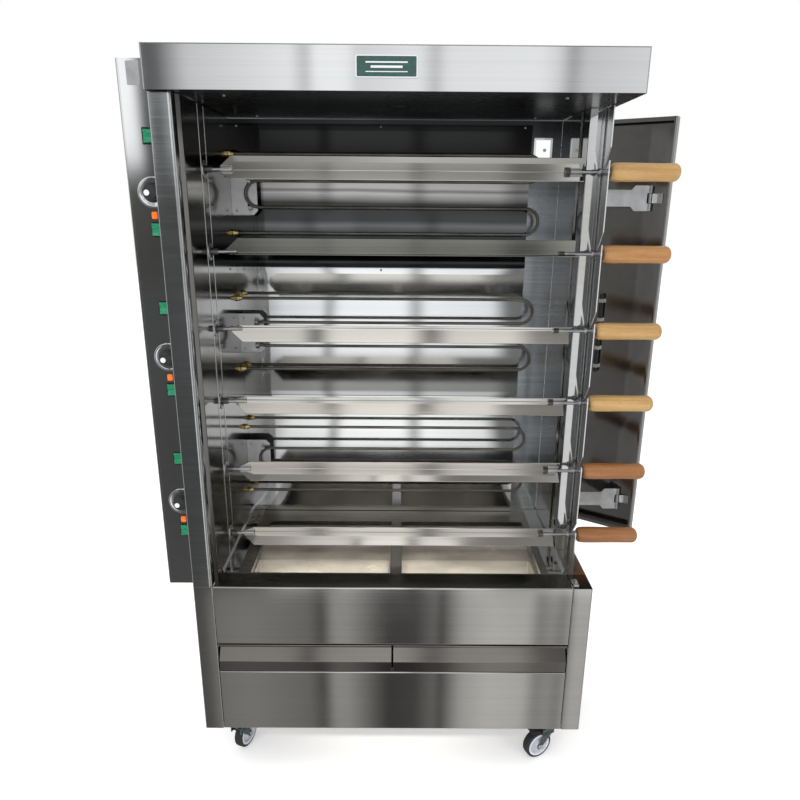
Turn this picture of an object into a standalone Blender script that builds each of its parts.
"""Floor-standing electric spit roaster: six driven spits, three heating zones, on four swivel castors.

Working frame: X = 0 at the middle of the cabinet, Y = 0 at the front of the base, Z = 0 on the floor.
The parent empty at the end moves everything so that the origin is the bottom centre of the whole object.
"""
import math

import bmesh
import bpy
from mathutils import Matrix, Vector

# ---------------------------------------------------------------- driving dimensions (metres)
GAP = 0.0003                 # clearance between pieces that touch
SHEET = 0.0015               # sheet steel
CABINET_WIDTH = 1.000
CABINET_DEPTH = 0.470
BASE_BOTTOM = 0.1287
BASE_TOP = 0.559
HOOD_BOTTOM = 1.693
HOOD_TOP = 1.777
HOOD_OVERHANG = 0.020        # hood front, ahead of the base front
RECESS_X = 0.005             # round recess in the hood's ceiling
RECESS_Y = 0.225

SPIT_COUNT = 6
SPIT_PITCH = 0.1873
LOWEST_SPIT_Z = 0.617
SPIT_Y = 0.176
SPIT_RADIUS = 0.0042
BLADE_LEG = 0.038            # leg of the angle bar
BLADE_SHEET = 0.0022
BLADE_LEFT = -0.408
BLADE_RIGHT = 0.434
BLADE_TAPER = 0.030          # pointed left end
SPIT_ROLLS = (124.0, 88.0, 164.0, 151.0, 131.0, 134.0)   # top spit first, degrees about +X

HANDLE_LENGTH = 0.164
HANDLE_RADIUS = 0.0215
HANDLE_LEFT = 0.4985

INNER_WALL = 0.444           # half width of the roasting chamber
BACK_WALL = 0.448
POST_WIDTH = 0.0487
FRONT_GAP = 0.0012           # shadow gap round the front panels

UPPER_PANEL_BOTTOM = 0.3915
DRAWER_BOTTOM = 0.3105
DRAWER_DEPTH = 0.455
DRAWER_MIDDLE = -0.0015      # X of the gap between the drawers
FRONT_RAIL = 0.067           # depth of the top fold of the upper panel
DECK_OPENINGS = ((-0.372, -0.0065), (0.0205, 0.385))
DECK_OPENING_BACK = 0.363

ZONE_COUNT = 3
ZONE_PITCH = 0.3800
LOWEST_ZONE_Z = 0.742
ELEMENT_Y = 0.408
ELEMENT_RADIUS = 0.0042
ELEMENT_PASS = 0.0675        # height between two passes
ELEMENT_LEFT_BEND = -0.370
ELEMENT_RIGHT_BEND = 0.352
ELEMENT_END = -0.462

REFLECTOR_RIGHT = 0.3625
REFLECTOR_HEIGHT = 0.374
REFLECTOR_DEPTH = 0.011

CONTROL_LEFT = -0.588
CONTROL_FRONT = 0.080
CONTROL_BACK = 0.440
CONTROL_BOTTOM = 0.521
CONTROL_TOP = 1.768
CONTROL_X = -0.534           # middle of the knobs
KNOB_PITCH = 0.372
LOWEST_KNOB_Z = 0.756
ROCKER_WIDTH = 0.0190
ROCKER_HEIGHT = 0.0320
ROCKER_ABOVE = 0.116         # rocker above its knob
ROCKER_BELOW = 0.080

SOCKET_RADIUS = 0.008
SPROCKET_RADIUS = 0.0175
SPROCKET_TEETH = 12
CHAIN_X = -0.472

WHEEL_RADIUS = 0.040
WHEEL_WIDTH = 0.024
CASTER_X = 0.427
CASTER_Y = 0.060
CASTER_TRAIL = 0.027

DOOR_HINGE_X = 0.657
DOOR_HINGE_Y = 0.335
DOOR_ANGLE = -33.5           # door plane to +X, degrees
DOOR_WIDTH = 0.219
DOOR_FLANGE = 0.028
DOOR_BOTTOM = 0.563
DOOR_TOP = 1.690
DOOR_FRONT_OVERHANG = 0.048  # from the hinge axis to the front edge
DOOR_FACE = 0.0095           # inner face of the pan, behind the hinge axis
DOOR_SHEET = 0.0012
ARM_HEIGHT = 0.042
ARM_SHEET = 0.0030
ARM_Z = (1.497, 0.651)

# ---------------------------------------------------------------- helpers


def clear_scene():
    for item in list(bpy.data.objects):
        bpy.data.objects.remove(item, do_unlink=True)


def make_material(name, color, roughness, metallic):
    material = bpy.data.materials.new(name)
    material.use_nodes = True
    shader = material.node_tree.nodes["Principled BSDF"]
    shader.inputs["Base Color"].default_value = (*color, 1.0)
    shader.inputs["Roughness"].default_value = roughness
    shader.inputs["Metallic"].default_value = metallic
    return material


def mesh_object(name, bm, material, smooth=False):
    """Turns a bmesh into a named object, with its faces pointing out."""
    bmesh.ops.recalc_face_normals(bm, faces=bm.faces[:])
    mesh = bpy.data.meshes.new(name)
    bm.to_mesh(mesh)
    bm.free()
    mesh.materials.append(material)
    if smooth:
        mesh.shade_smooth()
        mesh.set_sharp_from_angle(angle=math.radians(35.0))
    item = bpy.data.objects.new(name, mesh)
    bpy.context.collection.objects.link(item)
    return item


def add_box(bm, low, high):
    """Adds a box between two corners."""
    size = Vector(high) - Vector(low)
    middle = (Vector(high) + Vector(low)) / 2.0
    matrix = Matrix.Translation(middle) @ Matrix.Diagonal((*size, 1.0))
    bmesh.ops.create_cube(bm, size=1.0, matrix=matrix)


def add_cylinder(bm, start, end, radius, sides=20):
    """Adds a cylinder between two points."""
    start = Vector(start)
    end = Vector(end)
    axis = end - start
    turn = Vector((0.0, 0.0, 1.0)).rotation_difference(axis).to_matrix().to_4x4()
    matrix = Matrix.Translation((start + end) / 2.0) @ turn
    bmesh.ops.create_cone(bm, cap_ends=True, segments=sides, radius1=radius, radius2=radius,
                          depth=axis.length, matrix=matrix)


def add_prism(bm, outline, axis, low, high):
    """Extrudes a closed outline along an axis; the outline gives the two other coordinates in order."""
    order = {"x": (2, 0, 1), "y": (0, 2, 1), "z": (0, 1, 2)}[axis]

    def place(point, along):
        values = (point[0], point[1], along)
        return Vector((values[order[0]], values[order[1]], values[order[2]]))

    corners = [bm.verts.new(place(point, low)) for point in outline]
    face = bm.faces.new(corners)
    swept = bmesh.ops.extrude_face_region(bm, geom=[face])
    moved = [item for item in swept["geom"] if isinstance(item, bmesh.types.BMVert)]
    shift = place((0.0, 0.0), high) - place((0.0, 0.0), low)
    bmesh.ops.translate(bm, verts=moved, vec=shift)


def add_turned(bm, profile, start, direction, sides=24):
    """Turns a profile of (distance, radius) round an axis, closed on the axis or back on itself."""
    turn = Vector((0.0, 0.0, 1.0)).rotation_difference(Vector(direction)).to_matrix().to_4x4()
    matrix = Matrix.Translation(Vector(start)) @ turn
    rings = []
    for distance, radius in profile:
        if radius < 1e-6:
            rings.append([bm.verts.new(matrix @ Vector((0.0, 0.0, distance)))])
            continue
        ring = []
        for step in range(sides):
            angle = 2.0 * math.pi * step / sides
            point = Vector((radius * math.cos(angle), radius * math.sin(angle), distance))
            ring.append(bm.verts.new(matrix @ point))
        rings.append(ring)
    pairs = list(zip(rings, rings[1:]))
    if len(rings[0]) > 1:
        pairs.append((rings[-1], rings[0]))
    for first, second in pairs:
        for step in range(sides):
            after = (step + 1) % sides
            corners = [first[step % len(first)], first[after % len(first)],
                       second[after % len(second)], second[step % len(second)]]
            unique = list(dict.fromkeys(corners))
            bm.faces.new(unique)


def add_tray(bm, low, high, sheet, open_side):
    """Adds a sheet box that is open on one side, such as '+z' or '-y'."""
    axis = "xyz".index(open_side[1])
    inner_low = [value + sheet for value in low]
    inner_high = [value - sheet for value in high]
    if open_side[0] == "+":
        inner_high[axis] = high[axis]
    else:
        inner_low[axis] = low[axis]

    def corner(a, b, bits):
        return Vector([b[i] if bits >> i & 1 else a[i] for i in range(3)])

    outer = [bm.verts.new(corner(low, high, bits)) for bits in range(8)]
    inner = [bm.verts.new(corner(inner_low, inner_high, bits)) for bits in range(8)]
    for side in range(3):
        first, second = [i for i in range(3) if i != side]
        for end in (0, 1):
            base = end << side
            loop = [base, base | 1 << first, base | 1 << first | 1 << second, base | 1 << second]
            if side == axis and (open_side[0] == "+") == bool(end):
                for step in range(4):
                    now, after = loop[step], loop[(step + 1) % 4]
                    bm.faces.new((outer[now], outer[after], inner[after], inner[now]))
                continue
            bm.faces.new([outer[i] for i in loop])
            bm.faces.new([inner[i] for i in loop])


def hidden_tool(name, bm):
    """Makes a cutter or a piece to be joined, which isn't a node."""
    bmesh.ops.recalc_face_normals(bm, faces=bm.faces[:])
    mesh = bpy.data.meshes.new(name)
    bm.to_mesh(mesh)
    bm.free()
    tool = bpy.data.objects.new(name, mesh)
    bpy.context.collection.objects.link(tool)
    tool.hide_render = True
    tool.display_type = "WIRE"
    return tool


def combine(item, bm, operation, crossing=False):
    """Adds a Boolean with the shapes in bm; crossing says that these shapes also cross each other."""
    tool = hidden_tool(item.name + "_tool", bm)
    modifier = item.modifiers.new("combine", "BOOLEAN")
    modifier.operation = operation
    modifier.solver = "EXACT"
    modifier.use_self = crossing
    modifier.object = tool
    return tool


def arc(centre, radius, start, end, steps):
    """Points of an arc in a plane, angles in degrees."""
    points = []
    for step in range(steps + 1):
        angle = math.radians(start + (end - start) * step / steps)
        points.append((centre[0] + radius * math.cos(angle), centre[1] + radius * math.sin(angle)))
    return points


def offset_sheet(path, sheet):
    """Closed outline of a bent sheet: the path, then the path moved to its left by the thickness."""
    moved = []
    for index, point in enumerate(path):
        here = Vector(point)
        before = here - Vector(path[index - 1]) if index > 0 else None
        after = Vector(path[index + 1]) - here if index < len(path) - 1 else None
        first = (before or after).normalized()
        second = (after or before).normalized()
        middle = (first + second).normalized()
        normal = Vector((-middle.y, middle.x))
        stretch = 1.0 / max(0.3, normal.dot(Vector((-first.y, first.x))))
        moved.append(tuple(here + normal * sheet * stretch))
    return list(path) + moved[::-1]


def spit_height(index):
    """Height of a spit's axis; index 0 is the top one."""
    return LOWEST_SPIT_Z + SPIT_PITCH * (SPIT_COUNT - 1 - index)


def zone_height(index):
    return LOWEST_ZONE_Z + ZONE_PITCH * (ZONE_COUNT - 1 - index)


def knob_height(index):
    return LOWEST_KNOB_Z + KNOB_PITCH * (ZONE_COUNT - 1 - index)


clear_scene()
STEEL = make_material("stainless_sheet", (0.60, 0.61, 0.61), 0.26, 1.0)
POLISHED = make_material("polished_sheet", (0.72, 0.73, 0.74), 0.10, 1.0)
ELEMENT = make_material("element_sheath", (0.22, 0.21, 0.19), 0.40, 1.0)
WOOD = make_material("handle_wood", (0.62, 0.33, 0.13), 0.42, 0.0)
BLACK = make_material("black_plastic", (0.02, 0.02, 0.02), 0.35, 0.0)
GREEN = make_material("green_switch", (0.02, 0.42, 0.14), 0.30, 0.0)
ZINC = make_material("zinc_casting", (0.55, 0.57, 0.60), 0.38, 1.0)
CARBON = make_material("drive_steel", (0.24, 0.24, 0.25), 0.45, 1.0)
RUBBER = make_material("castor_tread", (0.03, 0.03, 0.03), 0.60, 0.0)

HALF = CABINET_WIDTH / 2.0
POST_INNER = HALF - POST_WIDTH

# ---------------------------------------------------------------- base


def build_base_casing():
    """Sides, back, floor, corner posts and lower front panel of the base, with the front opening above it."""
    bm = bmesh.new()
    add_tray(bm, (-HALF, 0.0, BASE_BOTTOM), (HALF, CABINET_DEPTH, BASE_TOP), SHEET, "+z")
    item = mesh_object("base_casing", bm, STEEL)
    cutter = bmesh.new()
    low = (-POST_INNER, -SHEET, DRAWER_BOTTOM - FRONT_GAP)
    add_box(cutter, low, (POST_INNER, 2.0 * SHEET, BASE_TOP + SHEET))
    combine(item, cutter, "DIFFERENCE")


def build_front_panel():
    """Upper front panel: a face, a deep top fold and a short bottom fold."""
    low = UPPER_PANEL_BOTTOM + FRONT_GAP
    path = [(FRONT_RAIL, BASE_TOP - 0.018), (FRONT_RAIL, BASE_TOP), (0.0, BASE_TOP), (0.0, low), (0.020, low)]
    edge = POST_INNER - FRONT_GAP
    bm = bmesh.new()
    add_prism(bm, offset_sheet(path, SHEET), "x", -edge, edge)
    mesh_object("front_panel_upper", bm, STEEL)


def build_deck():
    """Deck plate behind the front rail, with an opening over each drawer."""
    bm = bmesh.new()
    front = FRONT_RAIL + GAP
    back = CABINET_DEPTH - SHEET - GAP
    edge = HALF - SHEET - GAP
    top = BASE_TOP - GAP
    add_box(bm, (-edge, front, top - SHEET), (edge, back, top))
    item = mesh_object("deck", bm, STEEL)
    cutter = bmesh.new()
    for left, right in DECK_OPENINGS:
        add_box(cutter, (left, front + 0.003, top - 0.02), (right, DECK_OPENING_BACK, top + 0.02))
    combine(item, cutter, "DIFFERENCE")


def build_partition():
    """Middle wall of the base, with a runner flange for a drawer on each side."""
    middle = DRAWER_MIDDLE
    low = BASE_BOTTOM + SHEET + GAP
    top = BASE_TOP - SHEET - 2.0 * GAP
    flange_z = DRAWER_BOTTOM - 0.004
    half = SHEET / 2.0
    flange = 0.016
    under = flange_z - SHEET
    side = [(half, low), (half, under), (flange, under), (flange, flange_z), (half, flange_z), (half, top)]
    outline = [(middle + x, z) for x, z in side] + [(middle - x, z) for x, z in side[::-1]]
    bm = bmesh.new()
    add_prism(bm, outline, "y", FRONT_RAIL + GAP, CABINET_DEPTH - SHEET - GAP)
    mesh_object("base_partition", bm, STEEL)


def build_drawer(name, left, right):
    """Drip drawer: an open tray with a folded front and a finger pull along its top."""
    low = DRAWER_BOTTOM
    top = UPPER_PANEL_BOTTOM - FRONT_GAP
    bm = bmesh.new()
    side = 0.012
    rim = top - 0.018
    add_tray(bm, (left + side, 0.022, low + 0.002), (right - side, DRAWER_DEPTH, rim), SHEET, "+z")
    item = mesh_object(name, bm, POLISHED)
    # face outline: bottom, face, finger recess that slopes in, hem along the top
    back = 0.0235
    recess = 0.0180
    hem = top - 0.006
    face = [(back, low), (0.0, low), (0.0, top - 0.050), (recess, rim), (recess, hem), (0.0, hem), (0.0, top),
            (back, top)]
    front = bmesh.new()
    add_prism(front, face, "x", left, right)
    combine(item, front, "UNION")


def build_base():
    build_base_casing()
    build_front_panel()
    build_deck()
    build_partition()
    edge = POST_INNER - 2.0 * FRONT_GAP
    gap = 0.0025
    build_drawer("drawer_left", -edge, DRAWER_MIDDLE - gap)
    build_drawer("drawer_right", DRAWER_MIDDLE + gap, edge)


# ---------------------------------------------------------------- column walls, hood and back

COLUMN_BOTTOM = BASE_TOP + GAP
COLUMN_TOP = HOOD_BOTTOM - GAP


def build_left_casing():
    """Outer skin of the left column, with the front post folded from it."""
    round_corner = arc((-POST_INNER - 0.008, 0.008), 0.008, 0.0, -90.0, 6)
    path = [(-POST_INNER, 0.030)] + round_corner
    path += [(-HALF, 0.0), (-HALF, CABINET_DEPTH), (-INNER_WALL - 0.010, CABINET_DEPTH)]
    outline = offset_sheet(path[::-1], SHEET)
    bm = bmesh.new()
    add_prism(bm, outline, "z", COLUMN_BOTTOM, COLUMN_TOP)
    item = mesh_object("left_casing", bm, STEEL, smooth=True)
    cutter = bmesh.new()
    motor_z = spit_height(0)
    add_cylinder(cutter, (-HALF - 0.01, SPIT_Y, motor_z), (-HALF + 0.01, SPIT_Y, motor_z), 0.012)
    combine(item, cutter, "DIFFERENCE")


def add_through_x(bm, y, z, radius, sides):
    """Adds a cutter along X through the left liner."""
    add_cylinder(bm, (-INNER_WALL - 0.01, y, z), (-INNER_WALL + 0.01, y, z), radius, sides)


def build_left_liner():
    """Inner wall of the left column: holes for sockets and element ends, and a bracket for each element."""
    bm = bmesh.new()
    back = BACK_WALL - GAP
    add_box(bm, (-INNER_WALL - SHEET, 0.032, COLUMN_BOTTOM), (-INNER_WALL, back, COLUMN_TOP))
    item = mesh_object("left_liner", bm, POLISHED)
    brackets = bmesh.new()
    for zone in range(ZONE_COUNT):
        middle = zone_height(zone)
        low = middle - 0.056
        high = middle + 0.056
        right = -INNER_WALL + 0.070
        outline = [(-INNER_WALL - 0.001, low), (right - 0.012, low), (right, low + 0.012), (right, high),
                   (-INNER_WALL - 0.001, high)]
        face = ELEMENT_Y + 0.009
        add_prism(brackets, outline, "y", face, face + SHEET)
    combine(item, brackets, "UNION")
    cutter = bmesh.new()
    for index in range(SPIT_COUNT):
        z = spit_height(index)
        add_through_x(cutter, SPIT_Y, z, 0.0135, 12)
    for zone in range(ZONE_COUNT):
        for side in (-1.5, 1.5):
            z = zone_height(zone) + side * ELEMENT_PASS
            add_through_x(cutter, ELEMENT_Y, z, 0.0065, 6)
    combine(item, cutter, "DIFFERENCE")


def build_right_wall():
    """Right column: one folded sheet, inner wall, front post face and outer skin."""
    path = [(INNER_WALL, BACK_WALL - GAP), (INNER_WALL, 0.262), (0.4487, 0.257), (0.4487, 0.200),
            (0.4785, 0.200), (0.4785, 0.212), (HALF, 0.212), (HALF, CABINET_DEPTH), (0.472, CABINET_DEPTH)]
    bm = bmesh.new()
    add_prism(bm, offset_sheet(path, SHEET), "z", COLUMN_BOTTOM, COLUMN_TOP)
    mesh_object("right_wall", bm, STEEL)


def build_rest_plate():
    """Plate that the right-hand ends of the spits lie in: one slanted notch for each."""
    left = 0.4840
    right = 0.4870
    front = 0.139
    bm = bmesh.new()
    add_box(bm, (left, front, COLUMN_BOTTOM), (right, 0.2117, COLUMN_TOP))
    item = mesh_object("spit_rest_plate", bm, STEEL)
    seat = SPIT_RADIUS + GAP
    mouth = 0.034
    cutter = bmesh.new()
    for index in range(SPIT_COUNT):
        z = spit_height(index)
        notch = arc((SPIT_Y, z), seat, -150.0, 30.0, 8)
        notch += [(front - 0.010, z + mouth + 0.022), (front - 0.010, z + mouth - 0.004)]
        add_prism(cutter, notch, "x", left - 0.01, right + 0.01)
    combine(item, cutter, "DIFFERENCE")


def build_hood():
    """Hood: a hollow sheet box with a small round recess in its ceiling."""
    bm = bmesh.new()
    add_box(bm, (-HALF, -HOOD_OVERHANG, HOOD_BOTTOM), (HALF, CABINET_DEPTH, HOOD_TOP))
    item = mesh_object("hood", bm, STEEL)
    hollow = bmesh.new()
    add_box(hollow, (-HALF + SHEET, -HOOD_OVERHANG + SHEET, HOOD_BOTTOM + SHEET),
            (HALF - SHEET, CABINET_DEPTH - SHEET, HOOD_TOP - SHEET))
    combine(item, hollow, "DIFFERENCE")
    recess = bmesh.new()
    low = HOOD_BOTTOM - 0.01
    add_cylinder(recess, (RECESS_X, RECESS_Y, low), (RECESS_X, RECESS_Y, low + 0.02), 0.025)
    combine(item, recess, "DIFFERENCE")


def build_back_panel():
    """Back of the chamber, with a cable hatch in its top right corner."""
    bm = bmesh.new()
    add_box(bm, (-INNER_WALL, BACK_WALL, COLUMN_BOTTOM), (INNER_WALL, BACK_WALL + SHEET, COLUMN_TOP))
    item = mesh_object("back_panel", bm, STEEL)
    cutter = bmesh.new()
    add_box(cutter, (0.375, BACK_WALL - 0.01, 1.585), (0.415, BACK_WALL + 0.01, 1.646))
    combine(item, cutter, "DIFFERENCE")


def build_reflector(name, top):
    """Concave reflector: an arc between a flat lip at the top and one at the bottom."""
    height = REFLECTOR_HEIGHT
    edge = BACK_WALL - REFLECTOR_DEPTH - 0.002
    half = height / 2.0 - 0.010
    radius = (half * half + REFLECTOR_DEPTH * REFLECTOR_DEPTH) / (2.0 * REFLECTOR_DEPTH)
    spread = math.degrees(math.asin(half / radius))
    centre = (edge + REFLECTOR_DEPTH - radius, top - height / 2.0)
    path = [(edge, top - height + GAP)] + arc(centre, radius, -spread, spread, 14) + [(edge, top - GAP)]
    bm = bmesh.new()
    add_prism(bm, offset_sheet(path[::-1], 0.0012), "x", -INNER_WALL + GAP, REFLECTOR_RIGHT)
    mesh_object(name, bm, POLISHED, smooth=True)


def build_columns():
    build_left_casing()
    build_left_liner()
    build_right_wall()
    build_rest_plate()
    build_hood()
    build_back_panel()
    for zone, word in enumerate(("upper", "middle", "lower")):
        top = COLUMN_BOTTOM + REFLECTOR_HEIGHT * (ZONE_COUNT - zone)
        build_reflector("reflector_" + word, top)


# ---------------------------------------------------------------- heating elements


def build_element(name, middle):
    """Serpentine tube with four passes, a bend on the right, one on the left and one on the right."""
    heights = [middle + ELEMENT_PASS * (1.5 - step) for step in range(4)]
    half = ELEMENT_PASS / 2.0
    points = [(ELEMENT_END, heights[0])]
    points += arc((ELEMENT_RIGHT_BEND, heights[0] - half), half, 90.0, -90.0, 8)
    points += arc((ELEMENT_LEFT_BEND, heights[1] - half), half, 90.0, 270.0, 8)
    points += arc((ELEMENT_RIGHT_BEND, heights[2] - half), half, 90.0, -90.0, 8)
    points += [(ELEMENT_END, heights[3])]
    curve = bpy.data.curves.new(name, "CURVE")
    curve.dimensions = "3D"
    curve.bevel_depth = ELEMENT_RADIUS
    curve.bevel_resolution = 2
    curve.use_fill_caps = True
    spline = curve.splines.new("POLY")
    spline.points.add(len(points) - 1)
    for place, (x, z) in zip(spline.points, points):
        place.co = (x, ELEMENT_Y, z, 1.0)
    curve.materials.append(ELEMENT)
    item = bpy.data.objects.new(name, curve)
    bpy.context.collection.objects.link(item)


# ---------------------------------------------------------------- control box


def build_control_box():
    """Box on the left side: openings in its front for the knobs and the rocker switches."""
    bm = bmesh.new()
    low = (CONTROL_LEFT, CONTROL_FRONT, CONTROL_BOTTOM)
    high = (-HALF - GAP, CONTROL_BACK, CONTROL_TOP)
    add_tray(bm, low, high, SHEET, "+x")
    item = mesh_object("control_box", bm, STEEL)
    cutter = bmesh.new()
    half_width = ROCKER_WIDTH / 2.0 + 0.0006
    half_height = ROCKER_HEIGHT / 2.0 + 0.0006
    before = CONTROL_FRONT - 0.01
    behind = CONTROL_FRONT + 0.01
    for zone in range(ZONE_COUNT):
        z = knob_height(zone)
        add_cylinder(cutter, (CONTROL_X, before, z), (CONTROL_X, behind, z), 0.006)
        for rocker_z in (z + ROCKER_ABOVE, z - ROCKER_BELOW):
            add_box(cutter, (CONTROL_X - half_width, before, rocker_z - half_height),
                    (CONTROL_X + half_width, behind, rocker_z + half_height))
    combine(item, cutter, "DIFFERENCE")


def build_knob(name, z):
    """Thermostat knob: skirt, grip and the spindle behind it."""
    face = CONTROL_FRONT - 0.0015
    profile = [(-0.012, 0.0), (-0.012, 0.0035), (0.0, 0.0035), (0.0, 0.0215), (0.0035, 0.0215),
               (0.0050, 0.0180), (0.0185, 0.0160), (0.0200, 0.0140), (0.0200, 0.0)]
    bm = bmesh.new()
    add_turned(bm, profile, (CONTROL_X, face, z), (0.0, -1.0, 0.0), 20)
    mesh_object(name, bm, BLACK, smooth=True)


def build_rocker(name, z):
    """Rocker of a switch: a shallow V face on a rounded body."""
    half = ROCKER_HEIGHT / 2.0
    front = CONTROL_FRONT
    outline = [(front - 0.0045, z - half + 0.001), (front - 0.0022, z), (front - 0.0045, z + half - 0.001),
               (front + 0.0040, z + half - 0.002), (front + 0.0110, z + 0.006), (front + 0.0110, z - 0.006),
               (front + 0.0040, z - half + 0.002)]
    bm = bmesh.new()
    half_width = ROCKER_WIDTH / 2.0
    add_prism(bm, outline, "x", CONTROL_X - half_width, CONTROL_X + half_width)
    mesh_object(name, bm, GREEN)


def build_controls():
    build_control_box()
    number = 1
    for zone, word in enumerate(("upper", "middle", "lower")):
        z = knob_height(zone)
        build_knob("knob_" + word, z)
        for rocker_z in (z + ROCKER_ABOVE, z - ROCKER_BELOW):
            build_rocker("rocker_" + str(number), rocker_z)
            number += 1


# ---------------------------------------------------------------- drive


def sprocket_outline(radius, teeth):
    """Outline of a small chain wheel round (0, 0)."""
    points = []
    for tooth in range(teeth):
        for part, reach in ((0.0, 1.0), (0.5, 0.82)):
            angle = 2.0 * math.pi * (tooth + part) / teeth
            points.append((radius * reach * math.cos(angle), radius * reach * math.sin(angle)))
    return points


def build_socket(name, z):
    """Driven socket of one spit: chain wheel, hub and the hollow end that takes the spit's pin."""
    bore = SPIT_RADIUS + 0.0008
    start = -INNER_WALL - 0.045
    hub = 0.009
    end = 0.064
    profile = [(0.0, 0.0), (0.0, hub), (0.048, hub), (0.050, SOCKET_RADIUS), (end, SOCKET_RADIUS), (end, 0.0)]
    bm = bmesh.new()
    add_turned(bm, profile, (start, SPIT_Y, z), (1.0, 0.0, 0.0), 14)
    item = mesh_object(name, bm, CARBON, smooth=True)
    wheel = bmesh.new()
    outline = [(SPIT_Y + y, z + height) for y, height in sprocket_outline(SPROCKET_RADIUS, SPROCKET_TEETH)]
    add_prism(wheel, outline, "x", CHAIN_X - 0.0015, CHAIN_X + 0.0015)
    combine(item, wheel, "UNION")
    cutter = bmesh.new()
    add_cylinder(cutter, (start + 0.020, SPIT_Y, z), (start + 0.08, SPIT_Y, z), bore, 12)
    combine(item, cutter, "DIFFERENCE")


def build_chain():
    """Endless chain that runs round the six chain wheels."""
    inner = SPROCKET_RADIUS + 0.0010
    outer = inner + 0.0060
    top = spit_height(0)
    bottom = spit_height(SPIT_COUNT - 1)
    outer_loop = arc((SPIT_Y, top), outer, 0.0, 180.0, 12) + arc((SPIT_Y, bottom), outer, 180.0, 360.0, 12)
    inner_loop = arc((SPIT_Y, top), inner, 0.0, 180.0, 12) + arc((SPIT_Y, bottom), inner, 180.0, 360.0, 12)
    low = CHAIN_X - 0.003
    high = CHAIN_X + 0.003
    bm = bmesh.new()
    rings = []
    for loop, x in ((outer_loop, low), (outer_loop, high), (inner_loop, high), (inner_loop, low)):
        rings.append([bm.verts.new((x, y, z)) for y, z in loop])
    count = len(outer_loop)
    for first, second in zip(rings, rings[1:] + rings[:1]):
        for step in range(count):
            after = (step + 1) % count
            bm.faces.new((first[step], first[after], second[after], second[step]))
    mesh_object("drive_chain", bm, CARBON)


def build_motor():
    """Gearmotor in the control box: gearbox, motor can and the shaft end through the casing."""
    z = spit_height(0)
    bm = bmesh.new()
    add_box(bm, (-HALF - 0.034, SPIT_Y - 0.040, z - 0.075), (-HALF - 0.004, SPIT_Y + 0.040, z + 0.035))
    item = mesh_object("gearmotor", bm, CARBON)
    can = bmesh.new()
    add_cylinder(can, (-HALF - 0.080, SPIT_Y, z - 0.040), (-HALF - 0.030, SPIT_Y, z - 0.040), 0.032, 28)
    add_cylinder(can, (-HALF - 0.006, SPIT_Y, z), (-HALF + 0.0095, SPIT_Y, z), 0.006)
    combine(item, can, "UNION")


def build_drive():
    for index in range(SPIT_COUNT):
        build_socket("drive_socket_" + str(index + 1), spit_height(index))
    build_chain()
    build_motor()


# ---------------------------------------------------------------- spits


def rolled(point, roll, z):
    """A point of the blade's section turned about the spit's axis, as (y, z)."""
    angle = math.radians(roll)
    y = point[0] * math.cos(angle) - point[1] * math.sin(angle)
    height = point[0] * math.sin(angle) + point[1] * math.cos(angle)
    return (SPIT_Y + y, z + height)


def build_spit(name, z, roll):
    """Spit: an angle bar with a pointed end, a pin on its left, a rod with a grooved bush on its right."""
    leg = BLADE_LEG
    sheet = BLADE_SHEET
    drop = SPIT_RADIUS - 0.0004           # the rod lies in the bar's inner corner
    corner = (-drop, -drop)
    section = [(corner[0] - sheet, corner[1] - sheet), (corner[0] - sheet + leg, corner[1] - sheet),
               (corner[0] - sheet + leg, corner[1]), corner, (corner[0], corner[1] - sheet + leg),
               (corner[0] - sheet, corner[1] - sheet + leg)]
    bm = bmesh.new()
    add_prism(bm, [rolled(point, roll, z) for point in section], "x", BLADE_LEFT, BLADE_RIGHT)
    item = mesh_object(name, bm, POLISHED)
    taper = bmesh.new()
    far = 2.0 * leg
    for side in (0, 1):
        wedge = [(BLADE_LEFT - 0.01, leg * 0.30), (BLADE_LEFT + BLADE_TAPER, leg + 0.001),
                 (BLADE_LEFT + BLADE_TAPER, far), (BLADE_LEFT - 0.01, far)]
        low = []
        high = []
        for x, reach in wedge:
            inside = corner[0] - sheet + reach
            for store, level in ((low, corner[1] - 0.006), (high, corner[1] + 0.003)):
                point = (inside, level) if side == 0 else (level, inside)
                y, height = rolled(point, roll, z)
                store.append(taper.verts.new((x, y, height)))
        taper.faces.new(low)
        taper.faces.new(high)
        for step in range(4):
            after = (step + 1) % 4
            taper.faces.new((low[step], low[after], high[after], high[step]))
    combine(item, taper, "DIFFERENCE")
    rods = bmesh.new()
    axis = (1.0, 0.0, 0.0)
    pin = SPIT_RADIUS
    left_start = -INNER_WALL - 0.018
    left_profile = [(0.0, 0.0), (0.0, pin - 0.001), (0.001, pin), (0.080, pin), (0.080, 0.0)]
    add_turned(rods, left_profile, (left_start, SPIT_Y, z), axis, 12)
    right_start = BLADE_RIGHT - 0.040
    handle = HANDLE_LEFT - right_start
    ball = 0.0078
    bush = 0.0110
    ferrule = 0.0060
    right_profile = [(0.0, 0.0), (0.0, pin)]
    right_profile += [(handle - 0.0275, pin), (handle - 0.0260, ball)]
    right_profile += [(handle - 0.0200, ball), (handle - 0.0185, pin)]
    right_profile += [(handle - 0.0098, pin), (handle - 0.0098, bush), (handle - 0.0020, bush)]
    right_profile += [(handle - 0.0020, ferrule), (handle - GAP, ferrule), (handle - GAP, 0.0)]
    add_turned(rods, right_profile, (right_start, SPIT_Y, z), axis, 12)
    combine(item, rods, "UNION", crossing=True)


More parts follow.
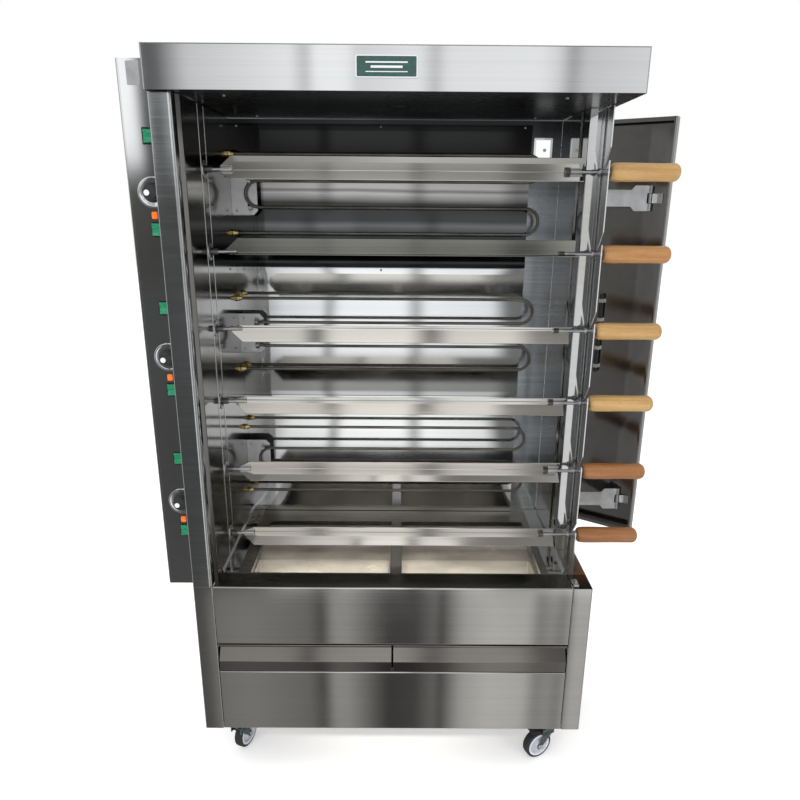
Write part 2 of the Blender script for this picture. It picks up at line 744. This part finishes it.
def build_handle(name, z):
    """Turned wooden handle with a rounded end."""
    radius = HANDLE_RADIUS
    length = HANDLE_LENGTH
    profile = [(0.0, 0.0), (0.0, radius * 0.80), (0.004, radius * 0.92), (0.020, radius)]
    profile += [(0.085, radius * 0.965)]
    rounding = 0.014
    for step in range(4):
        angle = math.radians(90.0 * step / 3.5)
        reach = length - rounding + rounding * math.sin(angle)
        profile.append((reach, radius * 0.985 - rounding + rounding * math.cos(angle)))
    profile.append((length, 0.0))
    bm = bmesh.new()
    add_turned(bm, profile, (HANDLE_LEFT, SPIT_Y, z), (1.0, 0.0, 0.0), 16)
    mesh_object(name, bm, WOOD, smooth=True)


def build_spits():
    for index in range(SPIT_COUNT):
        z = spit_height(index)
        number = str(index + 1)
        build_spit("spit_" + number, z, SPIT_ROLLS[index])
        build_handle("spit_handle_" + number, z)


# ---------------------------------------------------------------- castors


def build_caster(name, x, y, heading):
    """Swivel castor: a fork with its axle, and a wheel that trails towards heading, in degrees from +X."""
    pivot = bpy.data.objects.new(name + "_swivel", None)
    bpy.context.collection.objects.link(pivot)
    pivot.location = (x, y, 0.0)
    pivot.rotation_euler = (0.0, 0.0, math.radians(heading))
    inner = WHEEL_WIDTH / 2.0 + 0.0020
    outer = inner + 0.0025
    crown = WHEEL_RADIUS * 2.0 + 0.006
    foot = 0.052
    legs = [(-outer, foot), (-inner, foot), (-inner, crown), (inner, crown), (inner, foot), (outer, foot),
            (outer, crown + 0.0030), (-outer, crown + 0.0030)]
    bm = bmesh.new()
    add_prism(bm, legs, "x", -0.020, 0.020)
    fork = mesh_object("caster_fork_" + name, bm, ZINC)
    extra = bmesh.new()
    trail = CASTER_TRAIL
    for side in (-1.0, 1.0):
        tip = WHEEL_RADIUS - 0.007
        blade = [(-0.008, 0.060), (trail - 0.009, tip), (trail + 0.009, tip), (0.020, 0.070), (0.012, 0.082),
                 (-0.012, 0.082)]
        near = side * (inner + outer) / 2.0
        add_prism(extra, blade, "y", near - 0.00125, near + 0.00125)
    bolt = outer + 0.0025
    add_cylinder(extra, (trail, -bolt, WHEEL_RADIUS), (trail, bolt, WHEEL_RADIUS), 0.0040, 16)
    add_cylinder(extra, (0.0, 0.0, crown + 0.001), (0.0, 0.0, BASE_BOTTOM - GAP), 0.016)
    tool = combine(fork, extra, "UNION", crossing=True)
    half = WHEEL_WIDTH / 2.0
    radius = WHEEL_RADIUS
    bore = 0.0043
    side = [(half + 0.001, bore), (half + 0.001, 0.010), (half - 0.004, 0.012), (half - 0.002, 0.028),
            (half, radius - 0.004), (half - 0.006, radius)]
    profile = [(-distance, reach) for distance, reach in side] + side[::-1]
    ring = bmesh.new()
    add_turned(ring, profile, (0.0, 0.0, 0.0), (0.0, 1.0, 0.0), 20)
    wheel = mesh_object("caster_wheel_" + name, ring, RUBBER, smooth=True)
    wheel.location = (trail, 0.0, WHEEL_RADIUS)
    for child in (fork, tool, wheel):
        child.parent = pivot
    return pivot


# ---------------------------------------------------------------- side door


def build_door():
    """Side door: a shallow pan on two cantilever arms; the pan's open side faces the front."""
    pivot = bpy.data.objects.new("door_pivot", None)
    bpy.context.collection.objects.link(pivot)
    pivot.location = (DOOR_HINGE_X, DOOR_HINGE_Y, 0.0)
    pivot.rotation_euler = (0.0, 0.0, math.radians(DOOR_ANGLE))
    front = DOOR_FRONT_OVERHANG
    rear = front - DOOR_WIDTH
    inner = DOOR_FACE - DOOR_FLANGE
    outer = DOOR_FACE + DOOR_SHEET
    bm = bmesh.new()
    add_tray(bm, (rear, inner, DOOR_BOTTOM), (front, outer, DOOR_TOP), DOOR_SHEET, "-y")
    door = mesh_object("side_door", bm, POLISHED)
    leaves = bmesh.new()
    for z in ARM_Z:
        add_cylinder(leaves, (0.0, 0.0, z - 0.012), (0.0, 0.0, z + 0.012), 0.0052, 16)
        add_box(leaves, (0.0, 0.0015, z - 0.012), (0.016, DOOR_FACE + 0.0004, z + 0.012))
    tool = combine(door, leaves, "UNION", crossing=True)
    latch = bmesh.new()
    latch_x = rear + 0.070
    low = (latch_x - 0.006, DOOR_FACE - 0.0143, 1.020)
    add_box(latch, low, (latch_x + 0.006, DOOR_FACE - GAP, 1.245))
    bar = mesh_object("door_latch", latch, BLACK)
    for child in (door, tool, bar):
        child.parent = pivot
    return pivot


def build_arms():
    """Two cantilever arms of the door: a foot on the cabinet's side, a strap and a two-part knuckle."""
    for word, z in zip(("upper", "lower"), ARM_Z):
        left = HALF + GAP
        eye = DOOR_HINGE_X
        half = ARM_HEIGHT / 2.0
        flare = half + 0.011
        edge = [(left, half), (eye - 0.050, half), (eye - 0.040, flare), (eye - 0.003, flare)]
        outline = [(x, z - reach) for x, reach in edge] + [(x, z + reach) for x, reach in edge[::-1]]
        bm = bmesh.new()
        y = DOOR_HINGE_Y
        add_prism(bm, outline, "y", y - ARM_SHEET / 2.0, y + ARM_SHEET / 2.0)
        arm = mesh_object("door_arm_" + word, bm, ZINC)
        extra = bmesh.new()
        add_box(extra, (left, y - 0.018, z - half - 0.004), (left + 0.003, y + 0.018, z + half + 0.004))
        for low, high in ((z - flare, z - 0.0125), (z + 0.0125, z + flare)):
            add_cylinder(extra, (eye, y, low), (eye, y, high), 0.0052, 16)
        combine(arm, extra, "UNION", crossing=True)
        cutter = bmesh.new()
        add_box(cutter, (eye - 0.0085, y - 0.02, z - 0.0125), (eye + 0.02, y + 0.02, z + 0.0125))
        combine(arm, cutter, "DIFFERENCE")


# ---------------------------------------------------------------- assembly


def build_all():
    build_base()
    build_columns()
    for zone, word in enumerate(("upper", "middle", "lower")):
        build_element("heating_element_" + word, zone_height(zone))
    build_controls()
    build_drive()
    build_spits()
    rear_y = CABINET_DEPTH - CASTER_Y
    build_caster("front_left", -CASTER_X, CASTER_Y, 68.0)
    build_caster("front_right", CASTER_X, CASTER_Y, 205.0)
    build_caster("rear_left", -CASTER_X, rear_y, 14.0)
    build_caster("rear_right", CASTER_X, rear_y, 166.0)
    build_door()
    build_arms()


def centre_on_origin():
    """Hangs every top-level object on one empty, placed so that the origin is the bottom centre."""
    turn = math.radians(DOOR_ANGLE)
    pan = DOOR_FACE + DOOR_SHEET
    door_edge = DOOR_HINGE_X + DOOR_FRONT_OVERHANG * math.cos(turn) - pan * math.sin(turn)
    shift_x = -(CONTROL_LEFT + door_edge) / 2.0
    shift_y = -(CABINET_DEPTH - HOOD_OVERHANG) / 2.0
    root = bpy.data.objects.new("rotisserie_origin", None)
    bpy.context.collection.objects.link(root)
    for item in list(bpy.data.objects):
        if item is not root and item.parent is None:
            item.parent = root
    root.location = (shift_x, shift_y, 0.0)


build_all()
centre_on_origin()
